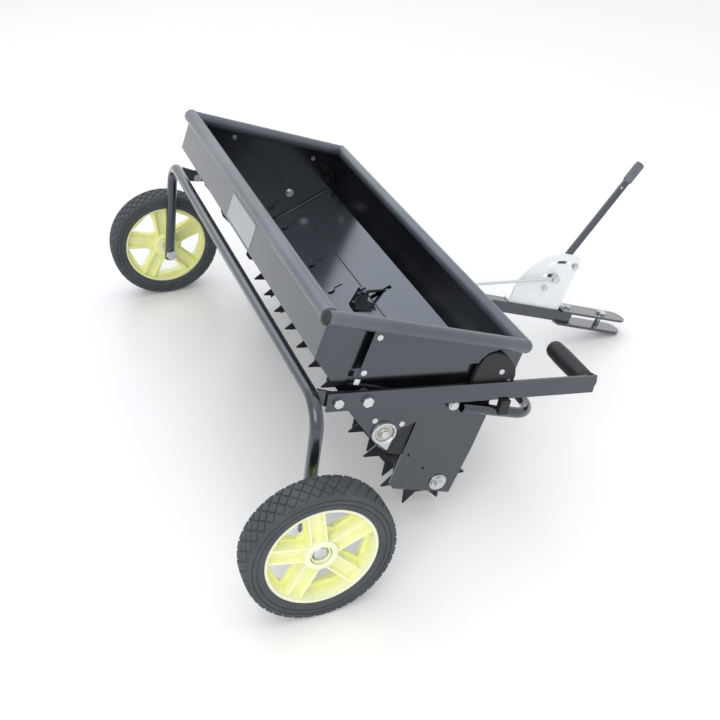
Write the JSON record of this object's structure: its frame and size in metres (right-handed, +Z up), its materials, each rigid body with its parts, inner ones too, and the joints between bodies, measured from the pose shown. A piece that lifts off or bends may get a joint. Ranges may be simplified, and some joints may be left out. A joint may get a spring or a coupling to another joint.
{
  "type": "tow behind aerator",
  "caption": "Towed spiker aerator with a sheet steel drop-seeder hopper, a reel of star wheels, a lift frame with spoked wheels, a drawbar and a flow lever.",
  "frame": {"origin": "on the floor, in the middle of the overall box", "axes": "+X to the machine's right, +Y forward to the hitch, +Z up; the machine rests nose-down on both tyres and the tip of the lower hitch strap"},
  "size_m": [1.1694, 1.0647, 0.4845],
  "materials": {
    "black_paint": "gloss black enamel",
    "zinc_steel": "bright zinc plate",
    "rubber_grip": "matt black rubber",
    "tyre_rubber": "matt tyre rubber",
    "lime_plastic": "translucent lime yellow"
  },
  "bodies": {
    "frame": {"hopper_body": "black_paint", "end_panel_right": "black_paint", "end_panel_left": "black_paint", "side_plate_right": "black_paint", "side_plate_left": "black_paint", "agitator_bearings": "zinc_steel", "star_bushings": "zinc_steel", "front_tube": "black_paint", "tongue": "black_paint", "hitch_strap_upper": "black_paint", "hitch_strap_lower": "black_paint", "flow_quadrant": "zinc_steel", "lever_rest": "rubber_grip", "hopper_rivets": "zinc_steel", "frame_bolts": "zinc_steel", "hitch_bolts": "zinc_steel", "quadrant_bolts": "zinc_steel", "shutter_studs": "black_paint", "drive_chain": "zinc_steel", "pivot_bolts": "zinc_steel"},
    "lift_frame": {"wheel_frame_tube": "black_paint", "pivot_arm_right": "black_paint", "pivot_arm_left": "black_paint", "lift_lever": "black_paint", "lever_grip": "rubber_grip", "arm_bolts": "zinc_steel", "axle_bolts": "zinc_steel"},
    "right_wheel": {"tyre_right": "tyre_rubber", "wheel_right": "lime_plastic", "cap_right": "lime_plastic"},
    "left_wheel": {"tyre_left": "tyre_rubber", "wheel_left": "lime_plastic", "cap_left": "lime_plastic"},
    "star_reel": {"star_shaft": "zinc_steel", "star_wheel_1": "black_paint", "star_wheel_2": "black_paint", "star_wheel_3": "black_paint", "star_wheel_4": "black_paint", "star_wheel_5": "black_paint", "star_wheel_6": "black_paint", "star_wheel_7": "black_paint", "star_wheel_8": "black_paint", "star_wheel_9": "black_paint", "star_wheel_10": "black_paint", "star_wheel_11": "black_paint", "star_spacers": "black_paint", "star_sprocket": "zinc_steel", "star_end_bolt": "zinc_steel"},
    "agitator": {"agitator_shaft": "zinc_steel", "agitator_fingers": "zinc_steel", "agitator_sprocket": "zinc_steel"},
    "flow_lever_body": {"flow_lever": "black_paint", "flow_grip": "rubber_grip", "rod_pin": "zinc_steel"},
    "shutter_body": {"shutter": "black_paint", "shutter_pin": "zinc_steel"},
    "rod_body": {"flow_rod": "zinc_steel"},
    "stop_body": {"stop_bolt": "zinc_steel"},
    "hitch_pin_body": {"hitch_pin": "zinc_steel"}
  },
  "joints": [
    {"name": "lift", "type": "hinge", "parent": "frame", "child": "lift_frame", "pos_m": [0, -0.28514, 0.3166], "axis": [1, 0, 0], "range_deg": [0, 80]},
    {"name": "right_wheel_spin", "type": "hinge", "parent": "lift_frame", "child": "right_wheel", "pos_m": [0.5577, -0.40537, 0.127], "axis": [1, 0, 0], "continuous": true},
    {"name": "left_wheel_spin", "type": "hinge", "parent": "lift_frame", "child": "left_wheel", "pos_m": [-0.5577, -0.40537, 0.127], "axis": [1, 0, 0], "continuous": true},
    {"name": "star_spin", "type": "hinge", "parent": "frame", "child": "star_reel", "pos_m": [0, -0.14407, 0.09429], "axis": [1, 0, 0], "continuous": true},
    {"name": "agitator_spin", "type": "hinge", "parent": "frame", "child": "agitator", "pos_m": [0, -0.24859, 0.23161], "axis": [1, 0, 0], "continuous": true},
    {"name": "flow_lever_turn", "type": "hinge", "parent": "frame", "child": "flow_lever_body", "pos_m": [0.002, 0.30756, 0.16076], "axis": [1, 0, 0], "range_deg": [0, 40]},
    {"name": "shutter_slide", "type": "slide", "parent": "frame", "child": "shutter_body", "axis": [0, -0.9259, -0.3777], "range_m": [0, 0.0225]},
    {"name": "rod_turn", "type": "hinge", "parent": "shutter_body", "child": "rod_body", "pos_m": [0.017, -0.11599, 0.24074], "axis": [1, 0, 0], "range_deg": [0, 1.94]},
    {"name": "stop_slide", "type": "hinge", "parent": "frame", "child": "stop_body", "pos_m": [0.0065, 0.32827, 0.13544], "axis": [1, 0, 0], "range_deg": [0, 10]},
    {"name": "hitch_pin_lift", "type": "slide", "parent": "frame", "child": "hitch_pin_body", "axis": [0, 0.3503, 0.9366], "range_m": [0, 0.045]}
  ],
  "couplings": [
    {"joint": "agitator_spin", "follows": "star_spin", "ratio": 1},
    {"joint": "shutter_slide", "follows": "flow_lever_turn", "m_per_rad": 0.032228},
    {"joint": "rod_turn", "follows": "flow_lever_turn", "ratio": 0.0484}
  ]
}
